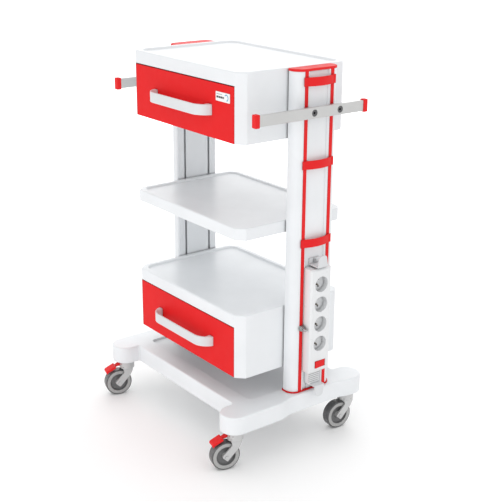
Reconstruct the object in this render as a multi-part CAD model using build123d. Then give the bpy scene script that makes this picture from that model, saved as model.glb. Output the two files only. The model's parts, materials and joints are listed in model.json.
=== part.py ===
from build123d import *
from math import cos, hypot, radians, sin, tan
import os

# Two-column medical appliance trolley: two drawer units, one shelf, side rails and a power strip.
# Millimetres, +Z up, floor at Z = 0, drawers open towards -Y, origin at the middle of the footprint.

# Drawer units and shelf
unit_w = 450.0
unit_d = 319.0
unit_h = 162.0
front_y = -132.0
rear_y = front_y + unit_d
corner = 20.3
upper_z = 778.0
lower_z = 207.0
shelf_z = 554.0
shelf_h = 30.0
shell_wall = 3.5
rim = 14.0
opening_h = 131.0
unit_tray = 5.0
shelf_tray = 4.5
opening_half = 204.6

# Columns
column_x = 226.0
column_depth = 36.5
column_y = 64.0
column_half = 63.0
column_z0 = 148.5
column_z1 = 934.0
slot_pitch = 38.0
channel_half = 30.0
channel_depth = 4.0
column_face = column_x + column_depth

# Base
base_z0 = 100.0
base_z1 = 145.0
base_wall = 3.5
pod_x = 248.0
pod_r = 36.0
pod_front_y = -162.0
pod_rear_y = 194.0
deck_front_y = -142.0
deck_rear_y = 179.0
waist_x = 273.5
tray_depth = 5.0

# Castors
wheel_r = 36.0
wheel_half = 11.5
trail = 26.0
castors = {
    "front_left": (-1, pod_front_y, 75.0),
    "front_right": (1, pod_front_y, 75.0),
    "rear_left": (-1, pod_rear_y, 85.0),
    "rear_right": (1, pod_rear_y, 85.0),
}

# Side rails
rail_z = 845.5
rail_h = 25.0
rail_t = 10.0
rail_x = 282.0
rail_y0 = -136.0
rail_y1 = 180.0

# Drawers
drawer_half = 190.0
panel_d = 16.0
panel_half = 203.5
slide_len = 270.0
slide_y0 = front_y + 24.5
slide_dz = 50.0

# Power strip on the right column
strip_half = 31.5
strip_x = 290.0
strip_z0 = 201.5
strip_z1 = 469.0
socket_z = (276.0, 327.0, 378.0, 429.0)
socket_r = 19.5
switch_y = column_y + 2.0
switch_z = 222.0
rocker_tilt = 6.0
lower_hook_z = 166.0
upper_hook_z = strip_z1 + 4
hook_screw_z = (upper_hook_z + 10, lower_hook_z - 10)

os.makedirs("parts", exist_ok=True)


def block(x0, x1, y0, y1, z0, z1):
    return Pos((x0 + x1) / 2, (y0 + y1) / 2, (z0 + z1) / 2) * Box(x1 - x0, y1 - y0, z1 - z0)


def rod_x(x0, x1, y, z, r):
    return Pos((x0 + x1) / 2, y, z) * Rot(0, 90, 0) * Cylinder(r, x1 - x0)


def rod_y(x, y0, y1, z, r):
    return Pos(x, (y0 + y1) / 2, z) * Rot(90, 0, 0) * Cylinder(r, y1 - y0)


def rod_z(x, y, z0, z1, r):
    return Pos(x, y, (z0 + z1) / 2) * Cylinder(r, z1 - z0)


def rounded(corners):
    """Closed outline through (x, y, radius) corners, each rounded by its own radius."""
    count = len(corners)
    starts = []
    for i, (x, y, r) in enumerate(corners):
        ax, ay, _ = corners[i - 1]
        bx, by, _ = corners[(i + 1) % count]
        la, lb = hypot(ax - x, ay - y), hypot(bx - x, by - y)
        ua, ub = ((ax - x) / la, (ay - y) / la), ((bx - x) / lb, (by - y) / lb)
        cos_a = ua[0] * ub[0] + ua[1] * ub[1]
        half = ((1 - cos_a) / 2) ** 0.5
        t = r * ((1 + cos_a) / 2) ** 0.5 / half
        bisector = (ua[0] + ub[0], ua[1] + ub[1])
        size = hypot(*bisector)
        reach = r / half - r
        middle = (x + bisector[0] / size * reach, y + bisector[1] / size * reach)
        starts.append(((x + ua[0] * t, y + ua[1] * t), middle, (x + ub[0] * t, y + ub[1] * t), r))
    edges = []
    for i, (begin, middle, end, r) in enumerate(starts):
        if r > 0:
            edges.append(ThreePointArc(begin, middle, end))
        following = starts[(i + 1) % count][0]
        if hypot(following[0] - end[0], following[1] - end[1]) > 1e-4:
            edges.append(Line(end, following))
    return make_face(Curve() + edges)


def prism(face, z0, z1):
    return extrude(Pos(0, 0, z0) * face, z1 - z0)


def left_of(shape):
    return mirror(shape, Plane.YZ)


def pair(shape):
    return [shape, left_of(shape)]


def group(shapes):
    solids = []
    for shape in shapes:
        solids.extend(shape.solids())
    return Compound(children=solids)


def save(name, shape):
    export_step(shape, f"parts/{name}.step")


def plate_outline(inset):
    """Chamfered plan outline of the drawer units and the shelf, moved inwards by inset."""
    w = unit_w / 2 - inset
    y0 = front_y + inset
    y1 = rear_y - inset
    c = corner - inset * (2 - 2**0.5)
    return rounded([
        (-w + c, y0, 4), (w - c, y0, 4), (w, y0 + c, 4), (w, y1 - c, 4),
        (w - c, y1, 4), (-w + c, y1, 4), (-w, y1 - c, 4), (-w, y0 + c, 4),
    ])


def tray_pocket(top, depth):
    """Shallow recess with sloped walls and round corners that leaves a rim all round."""
    w, y0, y1, r = unit_w / 2 - rim, front_y + rim, rear_y - rim, 24
    opening = rounded([(-w, y0, r), (w, y0, r), (w, y1, r), (-w, y1, r)])
    pocket = extrude(Pos(0, 0, top) * opening, amount=-depth, taper=35)
    return fillet(pocket.edges().group_by(Axis.Z)[0], 2)


def soften_rim(body, r):
    """Rounds the inner edge of the flat rim on top of a tray."""
    rim_face = body.faces().filter_by(Plane.XY).sort_by(Axis.Z)[-1]
    return fillet(rim_face.inner_wires()[0].edges(), r)


# Drawer unit shells and shelf: moulded, open underneath


def unit_shell(z0):
    top = z0 + unit_h
    shell = prism(plate_outline(0), z0, top)
    shell = fillet(shell.edges().group_by(Axis.Z)[-1], 4)
    shell = fillet(shell.edges().group_by(Axis.Z)[0], 1.5)
    hollow = prism(plate_outline(shell_wall), z0 - 1, top - shell_wall)
    under_tray = prism(plate_outline(rim - shell_wall), top - unit_tray - shell_wall, top)
    shell = soften_rim(shell - tray_pocket(top, unit_tray), 2) - (hollow - under_tray)
    shell -= block(-opening_half, opening_half, front_y - 1, front_y + 6, z0 - 1, z0 + opening_h)
    for side in (-1, 1):
        for slot in (-slot_pitch, slot_pitch):
            y = column_y + slot
            x0, x1 = sorted((side * (unit_w / 2 - 1), side * column_x))
            shell += block(x0, x1, y - 11, y + 11, z0 + 6, z0 + unit_h - 8)
            for dz in (12, 96):
                shell -= rod_x(side * 225 - 8, side * 225 + 8, y, z0 + dz, 3.3)
    return shell


def unit_frame(z0):
    """Folded steel frame inside a shell: floor, sides, back and the tubes that carry the slides."""
    floor = plate_outline(shell_wall + 0.1) & Pos(0, 200, 0) * Rectangle(600, 2 * (200 - front_y - 20))
    frame = prism(floor, z0 + 1, z0 + 2.5)
    y0, y1 = slide_y0 - 0.5, slide_y0 + slide_len + 0.5
    for side in (-1, 1):
        x0, x1 = sorted((side * 219.9, side * 221.4))
        wall = block(x0, x1, front_y + 26, rear_y - 26, z0 + 1, z0 + 104)
        x2, x3 = sorted((side * 205.0, side * 220.5))
        x4, x5 = sorted((side * 206.5, side * 219.9))
        tube = block(x2, x3, y0, y1, z0 + slide_dz - 22, z0 + slide_dz + 22)
        tube -= block(x4, x5, y0 - 1, y1 + 1, z0 + slide_dz - 20.5, z0 + slide_dz + 20.5)
        frame = frame + wall + tube
        for slot in (-slot_pitch, slot_pitch):
            for dz in (12, 96):
                frame -= rod_x(side * 220.6 - 3, side * 220.6 + 3, column_y + slot, z0 + dz, 3.3)
    return frame + block(-200, 200, rear_y - 5.1, rear_y - 3.6, z0 + 1, z0 + 104)


def shelf():
    top = shelf_z + shelf_h
    body = prism(plate_outline(0), shelf_z, top)
    body = fillet(body.edges().group_by(Axis.Z)[-1], 4)
    body = fillet(body.edges().group_by(Axis.Z)[0], 2)
    hollow = prism(plate_outline(shell_wall), shelf_z - 1, top - shell_wall)
    hollow -= prism(plate_outline(rim - shell_wall), top - shelf_tray - shell_wall, top)
    for x in (-150, -75, 0, 75, 150):
        hollow -= block(x - 1.5, x + 1.5, front_y, rear_y, shelf_z + 4, top)
    for y in (-66, 0, 64, 134):
        hollow -= block(-230, 230, y - 1.5, y + 1.5, shelf_z + 4, top)
    body = soften_rim(body - tray_pocket(top, shelf_tray), 2) - hollow
    for side in (-1, 1):
        for slot in (-slot_pitch, slot_pitch):
            y = column_y + slot
            x0, x1 = sorted((side * (unit_w / 2 - 1), side * column_x))
            body += block(x0, x1, y - 11, y + 11, shelf_z + 2, top - 6)
            body -= rod_x(side * 225 - 8, side * 225 + 8, y, shelf_z + 10, 3.3)
    return body


for unit, z0 in (("upper", upper_z), ("lower", lower_z)):
    save(f"{unit}_casing", unit_shell(z0))
    save(f"{unit}_frame", unit_frame(z0))
save("middle_shelf", shelf())

# Drawers


def slide_members(z):
    """Fixed, middle and drawer members of one right-hand slide, thin channels nested in each other."""
    y1 = slide_y0 + slide_len
    fixed = block(194.2, 205, slide_y0, y1, z - 18, z + 18)
    fixed -= block(194, 203.8, slide_y0 - 1, y1 + 1, z - 16.8, z + 16.8)
    middle = block(193, 203, slide_y0, y1, z - 16.2, z + 16.2)
    middle -= block(192, 201.8, slide_y0 - 1, y1 + 1, z - 15, z + 15)
    inner = block(190, 200.8, slide_y0, y1, z - 14.4, z + 14.4)
    inner -= block(191.2, 201, slide_y0 - 1, y1 + 1, z - 13.2, z + 13.2)
    return fixed, middle, inner


def drawer_box(z0):
    y0, y1 = front_y + panel_d, slide_y0 + slide_len - 6
    box = block(-drawer_half, drawer_half, y0, y1, z0 + 8, z0 + 108)
    return box - block(-drawer_half + 1.5, drawer_half - 1.5, y0 + 1.5, y1 - 1.5, z0 + 9.5, z0 + 109)


def drawer_front(z0):
    """Deep pressed panel, open at the back where the drawer box closes it."""
    panel = block(-panel_half, panel_half, front_y, front_y + panel_d, z0 + 0.8, z0 + 128.6)
    panel = fillet(panel.faces().sort_by(Axis.Y)[0].edges(), 1.2)
    inner = panel_half - 2.5
    panel -= block(-inner, inner, front_y + 2.5, front_y + panel_d + 1, z0 + 3.3, z0 + 126.1)
    for side in (-1, 1):
        panel -= rod_y(side * 113, front_y - 1, front_y + 4, z0 + 65, 2.1)
    return panel


def handle_profile(half, flat, depth):
    """Bow outline from the panel face out to the flat grip and back."""
    radius = ((half - flat) ** 2 + depth**2) / (2 * depth)
    turn = 0.5
    mid_x = flat + radius * sin(turn)
    mid_y = -depth + radius * (1 - cos(turn))
    edges = [
        Line((-half, 0), (half, 0)),
        ThreePointArc((half, 0), (mid_x, mid_y), (flat, -depth)),
        Line((flat, -depth), (-flat, -depth)),
        ThreePointArc((-flat, -depth), (-mid_x, mid_y), (-half, 0)),
    ]
    return make_face(Curve() + edges)


def drawer_handle(z0):
    outer = handle_profile(120, 80, 31)
    inner = handle_profile(116, 78, 27) & Rectangle(212, 60)
    bow = prism(Pos(0, front_y, 0) * (outer - inner), z0 + 53, z0 + 78)
    ends = bow.edges().group_by(Axis.Z)
    bow = chamfer(ends[0] + ends[-1], 0.8)
    for side in (-1, 1):
        bow -= rod_y(side * 113, front_y - 8, front_y + 1, z0 + 65, 1.9)
    return bow


def handle_screws(z0):
    screws = []
    for side in (-1, 1):
        shank = rod_y(side * 113, front_y - 7.5, front_y + 3, z0 + 65, 1.9)
        head = rod_y(side * 113, front_y + 2.5, front_y + 5.5, z0 + 65, 4)
        screws.append(shank + head)
    return group(screws)


for unit, z0 in (("upper", upper_z), ("lower", lower_z)):
    fixed, middle, inner = slide_members(z0 + slide_dz)
    save(f"{unit}_fixed_slides", group(pair(fixed)))
    save(f"{unit}_middle_slides", group(pair(middle)))
    save(f"{unit}_drawer_slides", group(pair(inner)))
    save(f"{unit}_drawer_box", drawer_box(z0))
    save(f"{unit}_drawer_front", drawer_front(z0))
    save(f"{unit}_drawer_handle", drawer_handle(z0))
    save(f"{unit}_handle_screws", handle_screws(z0))

label = block(136, 189, front_y - 1, front_y, upper_z + 90, upper_z + 111)
save("label_plate", fillet(label.edges().filter_by(Axis.Y), 1.5))

# Columns: hollow extrusions with two slots inside and two slots outside


def column_outline(grow):
    x0, x1 = column_x - grow, column_x + column_depth + grow
    y0, y1 = column_y - column_half - grow, column_y + column_half + grow
    return rounded([(x0, y0, 5), (x1, y0, 24), (x1, y1, 24), (x0, y1, 5)])


def rect(x0, x1, y0, y1):
    return Pos((x0 + x1) / 2, (y0 + y1) / 2) * Rectangle(x1 - x0, y1 - y0)


def column_section():
    x0, x1 = column_x, column_x + column_depth
    outer = column_outline(0)
    hollow = column_outline(-2.5)
    hollow -= rect(x1 - channel_depth - 2.5, x1, column_y - 34, column_y + 34)
    hollow -= rect(x0, x1, column_y - 1.25, column_y + 1.25)
    hollow -= Pos(x0 + 18.75, column_y) * Circle(7)
    for slot in (-slot_pitch, slot_pitch):
        y = column_y + slot
        hollow -= rect(x0, x0 + 12, y - 10.5, y + 10.5)
        hollow -= rect(x1 - 11, x1, y - 10.5, y + 10.5)
        hollow -= Pos(x0 + 18.75, y) * Circle(7.5)
    section = outer - hollow
    section -= make_face(Polyline(
        (x1 - channel_depth, column_y - channel_half + 3), (x1 + 1, column_y - channel_half),
        (x1 + 1, column_y + channel_half), (x1 - channel_depth, column_y + channel_half - 3), close=True,
    ))
    for slot in (-slot_pitch, slot_pitch):
        y = column_y + slot
        section -= rect(x0 - 1, x0 + 3, y - 3.2, y + 3.2) + rect(x0 + 2.5, x0 + 9.5, y - 8, y + 8)
        section -= rect(x1 - 3, x1 + 1, y - 4.8, y + 4.8) + rect(x1 - 8.5, x1 - 2.5, y - 8, y + 8)
        section -= Pos(x0 + 18.75, y) * Circle(4)
    return section - Pos(x0 + 18.75, column_y) * Circle(4)


column = prism(column_section(), column_z0, column_z1)
save("left_column", left_of(column))
for z in hook_screw_z:
    column -= rod_x(column_face - 11, column_face, column_y, z, 2.5)
save("right_column", column)

port_x = column_x + 18.75
port_y = (column_y - slot_pitch, column_y, column_y + slot_pitch)
cap = prism(column_outline(0.8), column_z1, column_z1 + 5.5)
cap = fillet(cap.edges().group_by(Axis.Z)[-1], 1.5)
gasket = prism(column_outline(1.8), base_z1, column_z0)
for y in port_y:
    cap += rod_z(port_x, y, column_z1 - 12, column_z1 + 1, 3.9)
    gasket -= rod_z(port_x, y, base_z1 - 1, column_z0 + 1, 4.5)
save("column_caps", group(pair(cap)))
save("foot_gaskets", group(pair(gasket)))

# Coloured strips that close the outer slots; their feet make room for the slot nuts of the rail
nut_room = 11.3
pin_y = column_y - slot_pitch - 1.2
pin_z = 317.0


def slot_strip(y):
    foot = block(column_face - 5.5, column_face - 2.6, y - 7.6, y + 7.6, column_z0, column_z1)
    foot -= block(column_face - 6, column_face - 2.6, y - 8, y + 8, rail_z - nut_room, rail_z + nut_room)
    stem = block(column_face - 2.6, column_face + 0.8, y - 4.7, y + 4.7, column_z0, column_z1)
    return foot + stem - rod_x(column_face - 7, column_face + 2, y, rail_z, 4.2)


front_strip = slot_strip(column_y - slot_pitch)
rear_strip = slot_strip(column_y + slot_pitch)
pinned_strip = front_strip - rod_x(column_face - 7, column_face + 2, pin_y, pin_z, 3.1)
save("slot_strips", group([left_of(front_strip), pinned_strip] + pair(rear_strip)))


def cable_strap(z):
    """Bowed clip across the outer channel with a short flat flange at each end."""
    y, face = column_y, column_face + 0.8
    half, bend = 46, 39
    outer = Curve() + [
        Line((face, y - half), (face + 2.2, y - half)),
        Line((face + 2.2, y - half), (face + 2.2, y - bend)),
        ThreePointArc((face + 2.2, y - bend), (face + 11, y), (face + 2.2, y + bend)),
        Line((face + 2.2, y + bend), (face + 2.2, y + half)),
        Line((face + 2.2, y + half), (face, y + half)),
        Line((face, y + half), (face, y + bend - 2)),
        ThreePointArc((face, y + bend - 2), (face + 8.8, y), (face, y - bend + 2)),
        Line((face, y - bend + 2), (face, y - half)),
    ]
    return prism(make_face(outer), z - 10, z + 10)


save("cable_straps", group([cable_strap(z) for z in (911, 720, 531)]))

# Side rails


def rail_bar():
    z0, z1 = rail_z - rail_h / 2, rail_z + rail_h / 2
    bar = block(rail_x, rail_x + rail_t, rail_y0, rail_y1, z0, z1)
    bar = chamfer(bar.edges().filter_by(Axis.Y), 1)
    for y in (column_y - slot_pitch, column_y + slot_pitch):
        bar -= rod_x(rail_x - 1, rail_x + rail_t, y, rail_z, 4.2)
        bar -= rod_x(rail_x + 2.5, rail_x + rail_t + 1, y, rail_z, 8)
    return bar


def rail_cap(y_end, direction):
    """Soft end cap pushed over a rail end; direction is -1 at the front and +1 at the rear."""
    y0, y1 = sorted((y_end - direction * 6.5, y_end + direction * 6))
    x0, x1 = rail_x - 2.5, rail_x + rail_t + 2.5
    body = block(x0, x1, y0, y1, rail_z - 15, rail_z + 15)
    body = fillet(body.edges(), 2.4)
    z0, z1 = rail_z - rail_h / 2, rail_z + rail_h / 2
    y2, y3 = sorted((y_end - direction * 7, y_end))
    pocket = block(rail_x, rail_x + rail_t, y2, y3, z0, z1)
    return body - chamfer(pocket.edges().filter_by(Axis.Y), 1)


def rail_bolt(y):
    bolt = rod_x(254.3, rail_x + 3, y, rail_z, 4) + rod_x(rail_x + 2.5, rail_x + 9, y, rail_z, 7.2)
    socket = extrude(Plane.YZ.offset(rail_x + 9.5) * RegularPolygon(3.4, 6), amount=-4.5)
    return bolt - Pos(0, y, rail_z) * socket


rail_parts = {"caps": [], "spacers": [], "bolts": []}
for y_end, direction in ((rail_y0, -1), (rail_y1, 1)):
    rail_parts["caps"] += pair(rail_cap(y_end, direction))
slot_nuts = []
for y in (column_y - slot_pitch, column_y + slot_pitch):
    spacer = rod_x(column_face + 0.8, rail_x, y, rail_z, 9) - rod_x(column_face, rail_x + 1, y, rail_z, 4.2)
    nut = block(column_face - 8.3, column_face - 2.7, y - 7.8, y + 7.8, rail_z - 11, rail_z + 11)
    rail_parts["spacers"] += pair(spacer)
    rail_parts["bolts"] += pair(rail_bolt(y))
    slot_nuts += pair(nut - rod_x(column_face - 10, column_face, y, rail_z, 4))
save("right_rail", rail_bar())
save("left_rail", left_of(rail_bar()))
save("rail_end_caps", group(rail_parts["caps"]))
save("rail_spacers", group(rail_parts["spacers"]))
save("rail_bolts", group(rail_parts["bolts"]))

# Bolts and slot nuts that hold the units and the shelf to the columns
unit_bolts = []
fixings = [(z0 + dz, 219.9) for z0 in (upper_z, lower_z) for dz in (12, 96)]
for z, seat in fixings + [(shelf_z + 10, unit_w / 2 - shell_wall)]:
    for y in (column_y - slot_pitch, column_y + slot_pitch):
        bolt = rod_x(seat - 1, 234.8, y, z, 3) + rod_x(seat - 4, seat, y, z, 5)
        nut = block(column_x + 2.5, column_x + 7.5, y - 7.8, y + 7.8, z - 9, z + 9)
        unit_bolts += pair(bolt)
        slot_nuts += pair(nut - rod_x(column_x, column_x + 9, y, z, 3))
save("unit_bolts", group(unit_bolts))
save("slot_nuts", group(slot_nuts))

# Base cover and the steel frame under it


def base_outline(grow):
    r = pod_r + grow
    inner_r = 4.0 - grow
    x0, x1, xw = pod_x - r, pod_x + r, waist_x + grow
    y_front, y_rear = pod_front_y - r, pod_rear_y + r
    right = [
        (x0, deck_front_y - grow, inner_r), (x0, y_front, r), (x1, y_front, r),
        (x1, -47, 60), (xw, -7, 60), (xw, 141, 60), (x1, 172, 60),
        (x1, y_rear, r), (x0, y_rear, r), (x0, deck_rear_y + grow, inner_r),
    ]
    left = [(-x, y, r) for x, y, r in reversed(right)]
    return rounded(right + left)


def deck_tray(inset, r):
    w, y0, y1 = 222.0 - inset, -97.0 + inset, 134.0 - inset
    return rounded([(-w, y0, r), (w, y0, r), (w, y1, r), (-w, y1, r)])


cover = prism(base_outline(0), base_z0, base_z1)
cover = fillet(cover.edges().group_by(Axis.Z)[-1], 4)
cover = fillet(cover.edges().group_by(Axis.Z)[0], 1.5)
cavity = prism(base_outline(-base_wall), base_z0 - 1, base_z1 - base_wall)
cavity -= prism(deck_tray(-3, 15), base_z1 - tray_depth - base_wall, base_z1)
cover -= cavity
cover -= extrude(Pos(0, 0, base_z1) * deck_tray(0, 12), amount=-tray_depth, taper=20)
frame_top = base_z1 - base_wall
bolt_bottom = frame_top - 30
beam_y = (column_y - slot_pitch, column_y + slot_pitch)
beam_top = frame_top - tray_depth
base_frame = block(-233, 233, beam_y[0] - 12.5, beam_y[0] + 12.5, bolt_bottom, beam_top)
base_frame += block(-233, 233, beam_y[1] - 12.5, beam_y[1] + 12.5, bolt_bottom, beam_top)
for side in (-1, 1):
    x = side * pod_x
    base_frame += block(x - 15, x + 15, pod_front_y, pod_rear_y, bolt_bottom, frame_top)
    for y in (pod_front_y, pod_rear_y):
        base_frame += rod_z(x, y, base_z0 + 1.2, frame_top, 19)
for y in beam_y:
    base_frame -= block(-240, 240, y - 10.5, y + 10.5, bolt_bottom + 2, beam_top - 2)
base_bolts = []
stems = []
for side in (-1, 1):
    x = side * pod_x
    base_frame -= block(x - 13, x + 13, pod_front_y + 20, pod_rear_y - 20, bolt_bottom + 2, frame_top - 2)
    for y in port_y:
        cover -= rod_z(side * port_x, y, base_z1 - 8, base_z1 + 1, 4.5)
        base_frame -= rod_z(side * port_x, y, bolt_bottom - 1, frame_top + 1, 4.5)
        bolt = rod_z(side * port_x, y, bolt_bottom - 1, column_z0 + 22, 3.95)
        base_bolts.append(bolt + rod_z(side * port_x, y, bolt_bottom - 6, bolt_bottom, 6.5))
    for y in (pod_front_y, pod_rear_y):
        base_frame -= rod_z(x, y, base_z0, frame_top - 3, 6)
        stem = rod_z(x, y, 79.5, frame_top - 4, 6) + rod_z(x, y, base_z0 - 1.4, base_z0 + 1.2, 12)
        stems.append(stem + rod_z(x, y, 79.5, 82, 9))
save("base_cover", cover)
save("base_frame", base_frame)
save("base_bolts", group(base_bolts))
save("castor_stems", group(stems))

# Castors. Local frame: stem axis at the origin, wheel towards +X, axle along Y.
axle_z = wheel_r
hinge_x = 16.0
hinge_z = 88.5


def castor_fork():
    crown = fillet(rod_z(0, 0, 76, 98.2, 21).edges().group_by(Axis.Z)[-1], 3)
    crown -= rod_z(0, 0, 70, 99, 6.05)
    crown -= rod_z(0, 0, 70, 82.3, 9.4)
    slope = 2**-0.5
    end = (trail + 7 * slope, axle_z - 7 * slope)
    low_corner = (end[0] - 9.6 * slope, end[1] - 9.6 * slope)
    high_corner = (end[0] + 9.6 * slope, end[1] + 9.6 * slope)
    side_view = rounded([
        (-13, 80, 0), (-12.5, 71, 6), (-5, 56, 8), (*low_corner, 3),
        (*high_corner, 3), (11, high_corner[0] + high_corner[1] - 11, 6), (16, 80, 0),
    ])
    legs = extrude(Plane.XZ * side_view, amount=17) - extrude(Plane.XZ * side_view, amount=12.6)
    legs += mirror(legs, Plane.XZ)
    axle = rod_y(trail, -18.5, 18.5, axle_z, 4)
    fork = crown + legs - rod_y(trail, -30, 30, axle_z, 4)
    fork -= rod_y(hinge_x, -12, 12, hinge_z, 2.1)
    fork -= block(12.5, 30, -5.5, 5.5, 75, 99)
    return fork, axle


def castor_hub():
    hub = rod_y(trail, -wheel_half, wheel_half, axle_z, wheel_r - 3)
    for side in (-1, 1):
        y0, y1 = sorted((side * 3.5, side * 13))
        hub -= rod_y(trail, y0, y1, axle_z, wheel_r - 11.5) - rod_y(trail, y0, y1, axle_z, 9)
    return hub - rod_y(trail, -20, 20, axle_z, 4.05)


def castor_tyre():
    tyre = rod_y(trail, -wheel_half, wheel_half, axle_z, wheel_r)
    tyre = fillet(tyre.edges().filter_by(GeomType.CIRCLE), 2.5)
    return tyre - rod_y(trail, -20, 20, axle_z, wheel_r - 3)


def brake_pedal():
    """Foot pad that curves over the front of the tyre, hinged in the crown."""
    side_view = rounded([
        (33, 79.5, 1), (55, 69, 2), (58, 64.5, 1), (60.5, 68.5, 2), (59, 73.5, 4), (34, 86, 2),
    ])
    pad = extrude(Plane.XZ * side_view, amount=12.3, both=True)
    tongue = rounded([(13.2, 91.5, 1), (13.2, 86, 1), (36, 79.5, 1), (36, 83, 1), (22, 91.5, 3)])
    tongue = extrude(Plane.XZ * tongue, amount=5, both=True)
    return pad + tongue + rod_y(hinge_x, -11.6, 11.6, hinge_z, 2.05)


def placed(shape, side, stem_y, angle):
    """Turns a castor piece about its stem; angle is the bearing of the axle from straight ahead."""
    heading = angle + 180.0
    return Pos(side * pod_x, stem_y, 0) * Rot(0, 0, heading) * shape


fork, axle = castor_fork()
hub, tyre, pedal = castor_hub(), castor_tyre(), brake_pedal()
for name, (side, stem_y, angle) in castors.items():
    save(f"{name}_fork", group([placed(fork, side, stem_y, angle), placed(axle, side, stem_y, angle)]))
    save(f"{name}_hub", placed(hub, side, stem_y, angle))
    save(f"{name}_tyre", placed(tyre, side, stem_y, angle))
    if name.startswith("front"):
        save(f"{name}_brake_pedal", placed(pedal, side, stem_y, angle))

# Power strip

strip_y0, strip_y1 = column_y - strip_half, column_y + strip_half
housing = block(column_face, strip_x, strip_y0, strip_y1, strip_z0, strip_z1)
housing = chamfer(housing.faces().sort_by(Axis.X)[-1].edges(), 4)
housing += block(column_face - channel_depth, column_face + 1, column_y - 26, column_y + 26, strip_z0, strip_z1)
housing -= block(
    column_face - 1.5, strip_x - 5, strip_y0 + 2.5, strip_y1 - 2.5, strip_z0 + 2.5, strip_z1 - 2.5
)
housing -= block(strip_x - 6, strip_x - 2.5, strip_y0 + 5, strip_y1 - 5, strip_z0 + 5, strip_z1 - 5)
for z in socket_z:
    housing -= rod_x(strip_x - 8, strip_x + 1, column_y, z, socket_r)
housing -= block(
    strip_x - 8, strip_x + 1, switch_y - 16.8, switch_y + 16.8, switch_z - 9.3, switch_z + 9.3
)
save("power_strip_housing", housing)


def socket_insert(z):
    """Round recess with two contact holes and a protruding earth pin."""
    back = strip_x - 18
    cup = rod_x(back, strip_x - 2.5, column_y, z, 21.5) - rod_x(back + 3, strip_x, column_y, z, socket_r)
    for dz in (-9.5, 9.5):
        cup -= rod_x(back - 1, back + 4, column_y + 2, z + dz, 2.6)
    return cup


def earth_pin(z):
    pin = rod_x(strip_x - 20, strip_x - 3.5, column_y - 9, z, 2.4)
    return fillet(pin.faces().sort_by(Axis.X)[-1].edges(), 1.5)


inserts = []
contacts = [block(267, 268.5, column_y - 12, column_y - 6, 252, 453)]
for z in socket_z:
    inserts.append(socket_insert(z) - rod_x(strip_x - 20, strip_x - 14, column_y - 9, z, 2.4))
    contacts[0] += earth_pin(z) + rod_x(268, 270.5, column_y - 9, z, 2.4)
for y, dz in ((column_y - 1, 9.5), (column_y + 5, -9.5)):
    bar = block(267, 268.5, y - 2, y + 2, 252, 453)
    for z in socket_z:
        sleeve = rod_x(268, strip_x - 18, column_y + 2, z + dz, 3.6)
        bar += sleeve - rod_x(266, strip_x - 10, column_y + 2, z + dz, 2.6)
    contacts.append(bar)
save("socket_inserts", group(inserts))
save("busbars", group(contacts))

rocker_x = strip_x - 4
rocker = block(-3, 5, -16, 16, switch_z - 8.7, switch_z + 8.7)
rocker = fillet(rocker.edges().filter_by(Axis.Z), 1.5) + rod_z(0, 0, switch_z - 11.5, switch_z + 11.5, 1.5)
save("power_switch", Pos(rocker_x, switch_y, 0) * Rot(0, 0, rocker_tilt) * rocker)
cradle = block(rocker_x - 7, strip_x - 2.5, switch_y - 18, switch_y + 18, switch_z - 13, switch_z + 13)
cradle -= block(rocker_x - 5.5, strip_x, switch_y - 17, switch_y + 17, switch_z - 9.3, switch_z + 9.3)
cradle -= rod_z(rocker_x, switch_y, switch_z - 12, switch_z + 12, 1.55)
save("switch_cradle", cradle)


def cable_hook(plate_z, up, reach):
    """Angle bracket with a tapered round lip at the outer end for winding a cable; up is +1 or -1."""
    half, tip = 15.5, 10.5
    z0, z1 = sorted((plate_z, plate_z + 3 * up))
    x0, x1 = column_face - channel_depth, strip_x + 3.5
    plate = block(x0, x1, column_y - half, column_y + half, z0, z1)
    lip_face = rounded([
        (column_y - half, plate_z, 0), (column_y + half, plate_z, 0),
        (column_y + tip, plate_z + reach * up, 9.5), (column_y - tip, plate_z + reach * up, 9.5),
    ])
    lip = extrude(Plane(origin=(x1, 0, 0), x_dir=(0, 1, 0), z_dir=(1, 0, 0)) * lip_face, amount=-3)
    z2, z3 = sorted((plate_z, plate_z + 16 * up))
    flange = block(x0, x0 + 3, column_y - half, column_y + half, z2, z3)
    return plate + lip + flange - rod_x(x0 - 1, x0 + 4, column_y, plate_z + 10 * up, 2.5)


def hook_screw(z):
    seat = column_face - channel_depth + 3
    screw = rod_x(seat - 9, seat, column_y, z, 2.4) + rod_x(seat, seat + 2.5, column_y, z, 4.5)
    return screw - rod_x(seat + 1, seat + 3, column_y, z, 1.6)


save("cable_hooks", group([cable_hook(upper_hook_z, 1, 29), cable_hook(lower_hook_z, -1, 30)]))
save("hook_screws", group([hook_screw(z) for z in hook_screw_z]))

entry_x = strip_x - 15
entry = block(column_face - channel_depth, entry_x, column_y - 20, column_y + 14, lower_hook_z, strip_z0)
for z in (171, 176, 181, 186, 191, 196):
    entry -= block(entry_x - 1.5, entry_x + 1, column_y - 21, column_y + 15, z, z + 2)
entry -= rod_y(268.8, column_y - 5, column_y + 15, 184, 3.6)
save("cable_entry_block", entry)

# Potential equalisation pin on the front slot of the right column
pin = rod_x(column_face - 8.4, column_face + 22, pin_y, pin_z, 3)
pin = fillet(pin.faces().sort_by(Axis.X)[-1].edges(), 1)
pin += rod_x(column_face + 0.8, column_face + 3.8, pin_y, pin_z, 7.4)
hexagon = extrude(Plane.YZ.offset(column_face + 3.8) * RegularPolygon(7, 6), amount=4.5)
pin += Pos(0, pin_y, pin_z) * hexagon
pin += rod_x(column_face + 8.3, column_face + 11, pin_y, pin_z, 5.2)
nut = block(column_face - 8.4, column_face - 5.6, pin_y - 6.6, pin_y + 9, pin_z - 9, pin_z + 9)
save("equipotential_pin", group([pin, nut - rod_x(250, 260, pin_y, pin_z, 3)]))
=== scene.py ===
import json
from math import cos, pi, radians, sin

import bmesh
import bpy
from mathutils import Matrix, Vector


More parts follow.
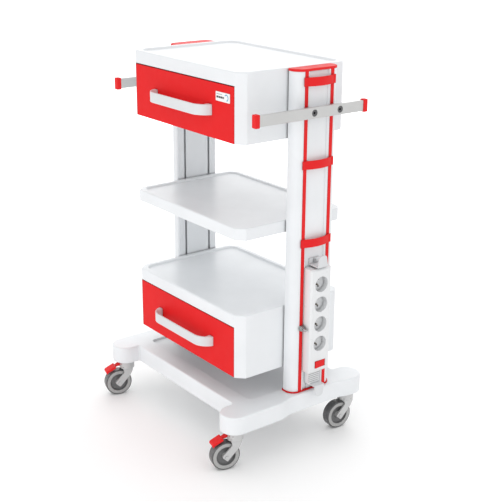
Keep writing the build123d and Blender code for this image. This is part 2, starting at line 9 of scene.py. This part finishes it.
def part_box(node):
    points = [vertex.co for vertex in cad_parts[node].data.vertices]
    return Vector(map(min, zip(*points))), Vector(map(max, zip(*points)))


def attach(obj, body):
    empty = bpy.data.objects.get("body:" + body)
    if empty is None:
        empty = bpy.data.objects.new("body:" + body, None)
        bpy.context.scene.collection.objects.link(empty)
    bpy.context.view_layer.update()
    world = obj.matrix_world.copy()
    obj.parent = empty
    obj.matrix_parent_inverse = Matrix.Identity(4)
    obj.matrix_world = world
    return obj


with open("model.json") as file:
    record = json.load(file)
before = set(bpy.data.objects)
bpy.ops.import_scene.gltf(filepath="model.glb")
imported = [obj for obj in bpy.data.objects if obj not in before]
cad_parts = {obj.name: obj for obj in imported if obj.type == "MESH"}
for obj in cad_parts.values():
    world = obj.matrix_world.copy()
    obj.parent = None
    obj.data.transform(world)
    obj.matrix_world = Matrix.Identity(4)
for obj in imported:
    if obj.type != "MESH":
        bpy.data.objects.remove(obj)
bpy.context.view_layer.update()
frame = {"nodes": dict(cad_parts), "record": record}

nodes = frame["nodes"]
joints = {joint["name"]: joint for joint in frame["record"]["behaviour"]["joints"]}


# Camera, floor and light


def aim(azimuth, elevation, roll):
    """Camera rotation: azimuth turns from +Y towards -X, elevation looks down, roll lifts the right."""
    az, el, turn = radians(azimuth), radians(elevation), radians(roll)
    forward = Vector((-sin(az) * cos(el), cos(az) * cos(el), -sin(el)))
    level = Vector((cos(az), sin(az), 0))
    right = level * cos(turn) + level.cross(forward) * sin(turn)
    return Matrix((right, right.cross(forward), -forward)).transposed().to_4x4()


def add_camera():
    data = bpy.data.cameras.new("camera")
    data.lens = 74.7
    data.clip_end = 100
    camera = bpy.data.objects.new("camera", data)
    camera.matrix_world = Matrix.Translation((2.0194, -1.4841, 1.3096)) @ aim(52.33, 19.02, 0.42)
    bpy.context.scene.collection.objects.link(camera)
    bpy.context.scene.camera = camera


def add_softbox(name, place, target, width, height, power):
    data = bpy.data.lights.new(name, "AREA")
    data.shape = "RECTANGLE"
    data.size = width
    data.size_y = height
    data.energy = power
    light = bpy.data.objects.new(name, data)
    light.location = place
    light.rotation_euler = (Vector(target) - Vector(place)).to_track_quat("-Z", "Y").to_euler()
    light.visible_camera = False
    bpy.context.scene.collection.objects.link(light)


def add_world(strength):
    """White backdrop: full white where the camera sees it, and a softer ambient light for the scene."""
    world = bpy.data.worlds.new("studio")
    world.use_nodes = True
    tree = world.node_tree
    background = tree.nodes["Background"]
    background.inputs["Color"].default_value = (1, 1, 1, 1)
    path = tree.nodes.new("ShaderNodeLightPath")
    level = tree.nodes.new("ShaderNodeMapRange")
    level.inputs["To Min"].default_value = strength
    level.inputs["To Max"].default_value = 1.0
    tree.links.new(path.outputs["Is Camera Ray"], level.inputs["Value"])
    tree.links.new(level.outputs["Result"], background.inputs["Strength"])
    bpy.context.scene.world = world


def add_floor():
    """White floor with a painted glow that only the camera sees: weak near the object, where it lightens
    the real shadows, and turning into pure white further out.
    """
    size = 40.0
    mesh = bpy.data.meshes.new("floor")
    corners = [(-size, -size, 0), (size, -size, 0), (size, size, 0), (-size, size, 0)]
    mesh.from_pydata(corners, [], [(0, 1, 2, 3)])
    floor = bpy.data.objects.new("floor", mesh)
    bpy.context.scene.collection.objects.link(floor)
    paint = finish("floor_paint", (0.93, 0.93, 0.93), 0.75, mottle=0.01, mottle_scale=1.5)
    tree = paint.node_tree
    shader = tree.nodes["Principled BSDF"]
    shader.inputs["Emission Color"].default_value = (1, 1, 1, 1)
    coords = tree.nodes.new("ShaderNodeTexCoord")
    distance = tree.nodes.new("ShaderNodeVectorMath")
    distance.operation = "LENGTH"
    # painted light: camera-only emission that grows with distance from the middle of the floor
    painted_glow = ranged(tree, (0.6, 2.0), (0.09, 0.6))
    path = tree.nodes.new("ShaderNodeLightPath")
    seen = tree.nodes.new("ShaderNodeMath")
    seen.operation = "MULTIPLY"
    tree.links.new(coords.outputs["Object"], distance.inputs["Vector"])
    tree.links.new(distance.outputs["Value"], painted_glow.inputs["Value"])
    tree.links.new(painted_glow.outputs["Result"], seen.inputs[0])
    tree.links.new(path.outputs["Is Camera Ray"], seen.inputs[1])
    tree.links.new(seen.outputs["Value"], shader.inputs["Emission Strength"])
    mesh.materials.append(paint)


# Materials


def new_node(tree, kind, **sockets):
    node = tree.nodes.new(kind)
    for name, value in sockets.items():
        node.inputs[name].default_value = value
    return node


def noise(tree, scale, detail=2.0):
    coords = tree.nodes.new("ShaderNodeTexCoord")
    node = new_node(tree, "ShaderNodeTexNoise", Scale=scale, Detail=detail)
    tree.links.new(coords.outputs["Object"], node.inputs["Vector"])
    return node.outputs["Fac"]


def ranged(tree, source, target):
    """Map Range node from the source interval to the target interval."""
    node = tree.nodes.new("ShaderNodeMapRange")
    node.inputs["From Min"].default_value, node.inputs["From Max"].default_value = source
    node.inputs["To Min"].default_value, node.inputs["To Max"].default_value = target
    return node


def mapped(tree, value, low, high):
    node = ranged(tree, (0.3, 0.7), (low, high))
    tree.links.new(value, node.inputs["Value"])
    return node.outputs["Result"]


def painted_crease_shade(tree, color):
    """Base colour darkened a little in narrow gaps and inner corners: painted shade, taken from ambient
    occlusion.
    """
    crease = new_node(tree, "ShaderNodeAmbientOcclusion", Distance=0.007)
    crease.samples = 8
    shade = ranged(tree, (0.3, 0.9), (0.55, 1.0))
    mix = new_node(tree, "ShaderNodeMix", Factor=1.0)
    mix.data_type = "RGBA"
    mix.blend_type = "MULTIPLY"
    tree.links.new(crease.outputs["AO"], shade.inputs["Value"])
    tree.links.new(color, mix.inputs["A"])
    tree.links.new(shade.outputs["Result"], mix.inputs["B"])
    return mix.outputs["Result"]


def finish(name, color, roughness, metallic=0.0, grain=0.00004, grain_scale=1400.0, mottle=0.03,
           mottle_scale=9.0, edge=0.0, specular=0.5):
    """Surface with gentle colour and gloss variation, a fine moulded or powder-coat grain, and painted
    shade in narrow gaps and inner corners.
    """
    material = bpy.data.materials.new(name)
    material.use_nodes = True
    tree = material.node_tree
    shader = tree.nodes["Principled BSDF"]
    shader.inputs["Metallic"].default_value = metallic
    shader.inputs["Specular IOR Level"].default_value = specular
    mix = tree.nodes.new("ShaderNodeMix")
    mix.data_type = "RGBA"
    mix.inputs["A"].default_value = [*(c * (1 - mottle) for c in color), 1]
    mix.inputs["B"].default_value = [*(min(1, c * (1 + mottle)) for c in color), 1]
    tree.links.new(mapped(tree, noise(tree, mottle_scale, 4), 0, 1), mix.inputs["Factor"])
    # painted shade: the base colour is darkened in narrow gaps and inner corners
    tree.links.new(painted_crease_shade(tree, mix.outputs["Result"]), shader.inputs["Base Color"])
    tree.links.new(mapped(tree, noise(tree, mottle_scale * 6, 3), roughness * 0.9, roughness * 1.1),
                   shader.inputs["Roughness"])
    bump = new_node(tree, "ShaderNodeBump", Strength=0.5, Distance=grain)
    tree.links.new(noise(tree, grain_scale, 3), bump.inputs["Height"])
    if edge:
        bevel = new_node(tree, "ShaderNodeBevel", Radius=edge)
        tree.links.new(bevel.outputs["Normal"], bump.inputs["Normal"])
    tree.links.new(bump.outputs["Normal"], shader.inputs["Normal"])
    return material


white = (0.815, 0.835, 0.855)
red = (0.77, 0.010, 0.012)
finishes = {
    "shell_white": finish("shell_white", white, 0.38, edge=0.0012),
    "front_red": finish("front_red", red, 0.5, edge=0.0008, specular=0.14),
    "handle_white": finish("handle_white", (0.70, 0.715, 0.73), 0.32, edge=0.0008),
    "column_white": finish("column_white", white, 0.36, edge=0.0008),
    "trim_red": finish("trim_red", red, 0.5, edge=0.0006, specular=0.25),
    "rail_grey": finish("rail_grey", (0.60, 0.60, 0.595), 0.36, metallic=0.7, edge=0.0006),
    "zinc_steel": finish("zinc_steel", (0.55, 0.56, 0.57), 0.32, metallic=1.0, edge=0.0004),
    "bright_pin": finish("bright_pin", (0.50, 0.50, 0.50), 0.2, metallic=1.0, edge=0.0003),
    "galvanised": finish(
        "galvanised", (0.58, 0.59, 0.60), 0.42, metallic=1.0, mottle=0.08, mottle_scale=60
    ),
    "strip_white": finish("strip_white", (0.79, 0.80, 0.81), 0.3, edge=0.0006),
    "socket_grey": finish("socket_grey", (0.70, 0.71, 0.72), 0.35, edge=0.0004),
    "contact_metal": finish("contact_metal", (0.20, 0.18, 0.15), 0.35, metallic=1.0),
    "dark_steel": finish("dark_steel", (0.15, 0.15, 0.155), 0.3, metallic=1.0, edge=0.0004),
    "castor_grey": finish("castor_grey", (0.60, 0.60, 0.60), 0.3, metallic=0.4, edge=0.0006),
    "hub_grey": finish("hub_grey", (0.40, 0.40, 0.395), 0.3, edge=0.0005),
    "tyre_grey": finish("tyre_grey", (0.11, 0.11, 0.112), 0.26, edge=0.0005),
    "label_white": finish("label_white", (0.88, 0.88, 0.88), 0.3),
}
for subpart in frame["record"]["subparts"]:
    piece = nodes[subpart["node"]]
    piece.data.materials.clear()
    piece.data.materials.append(finishes[subpart["material_slot"]])

# Small pieces that the CAD leaves out


def add_piece(name, vertices, faces, material, body):
    mesh = bpy.data.meshes.new(name)
    mesh.from_pydata(vertices, [], faces)
    shape = bmesh.new()
    shape.from_mesh(mesh)
    bmesh.ops.recalc_face_normals(shape, faces=shape.faces)
    shape.to_mesh(mesh)
    shape.free()
    mesh.materials.append(material)
    piece = bpy.data.objects.new(name, mesh)
    bpy.context.scene.collection.objects.link(piece)
    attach(piece, body)
    return piece


def add_ring(name, centre, axis, profile, material, body, steps=72):
    """Closed ring about an axle; profile is a loop of (distance along the axle, radius) points."""
    axis = Vector(axis).normalized()
    up = Vector((0, 0, 1))
    side = axis.cross(up)
    vertices = []
    for step in range(steps):
        turn = 2 * pi * step / steps
        outward = up * cos(turn) + side * sin(turn)
        vertices += [Vector(centre) + axis * along + outward * radius for along, radius in profile]
    count = len(profile)
    faces = []
    for step in range(steps):
        here, there = step * count, (step + 1) % steps * count
        for i in range(count):
            j = (i + 1) % count
            faces.append((here + i, here + j, there + j, there + i))
    ring = add_piece(name, vertices, faces, material, body)
    for face in ring.data.polygons:
        face.use_smooth = True
    ring.data.set_sharp_from_angle(angle=radians(35))


def add_print(name, outline, label_face, material):
    """Flat printed mark just proud of the label; outline starts from the label's lower left corner."""
    left, front, bottom = label_face
    count = len(outline)
    vertices = []
    for proud in (0.00002, 0.00008):
        vertices += [(left + x, front - proud, bottom + z) for x, z in outline]
    sides = [(i, (i + 1) % count, (i + 1) % count + count, i + count) for i in range(count)]
    faces = [tuple(range(count))[::-1], tuple(range(count, 2 * count))] + sides
    add_piece(name, vertices, faces, material, "upper_drawer")


# Dark rings in the recesses on both sides of each wheel centre: painted shade that darkens the hub
# recesses
recess_shade = finish("wheel_recess_shade", (0.16, 0.16, 0.163), 0.35)
recess_shade_profile = [
    (0.0036, 0.0093), (0.0036, 0.0244), (0.0100, 0.0244), (0.0100, 0.0236),
    (0.0052, 0.0222), (0.0042, 0.0200), (0.0042, 0.0120), (0.0056, 0.0096),
]
for castor in ("front_left", "front_right", "rear_left", "rear_right"):
    roll = joints[f"{castor}_roll"]
    for side in (-1, 1):
        profile = [(side * along, radius) for along, radius in recess_shade_profile]
        name = f"{castor}_wheel_recess_shade_{'inner' if side < 0 else 'outer'}"
        add_ring(name, roll["pos_m"], roll["axis"], profile, recess_shade, f"{castor}_wheel")

# Plain marks on the label
label_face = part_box("label_plate")[0]
ink = finish("label_ink", (0.05, 0.05, 0.055), 0.4)
pale_ink = finish("label_pale_ink", (0.42, 0.43, 0.45), 0.4)
blue_ink = finish("label_blue_ink", (0.16, 0.42, 0.60), 0.4)
for i, (x, width) in enumerate(((0.003, 0.007), (0.011, 0.006), (0.018, 0.007), (0.026, 0.005))):
    block = [(x, 0.007), (x + width, 0.007), (x + width, 0.0115), (x, 0.0115)]
    add_print(f"label_mark_{i}", block, label_face, ink)
line = [(0.003, 0.0150), (0.024, 0.0150), (0.024, 0.0168), (0.003, 0.0168)]
add_print("label_line", line, label_face, pale_ink)
turns = [radians(turn) for turn in range(-80, 141, 20)]
outer = [(0.040 + 0.0080 * cos(turn), 0.0105 + 0.0080 * sin(turn)) for turn in turns]
inner = [(0.040 + 0.0052 * cos(turn), 0.0105 + 0.0052 * sin(turn)) for turn in reversed(turns)]
add_print("label_arc", outer + inner, label_face, blue_ink)

# Set

middle = (0, 0, 0.5)
add_camera()
add_world(0.97)
add_floor()
add_softbox("back_softbox", (-3.0, 2.3, 1.1), middle, 4.0, 2.0, 31)
add_softbox("top_softbox", (-1.4, 1.2, 2.4), middle, 2.5, 2.0, 8)
add_softbox("left_softbox", (-2.4, -2.6, 1.1), middle, 2.5, 2.0, 2)
add_softbox("right_softbox", (2.4, 2.8, 1.1), middle, 2.5, 2.0, 3)
add_softbox("front_softbox", (2.6, -2.4, 0.7), (0, 0, 0.2), 2.5, 1.2, 4)
add_softbox("low_softbox", (0.7, -1.9, 0.5), (0, 0, 0.12), 2.2, 0.4, 4.5)
bpy.context.scene.view_settings.view_transform = "Standard"
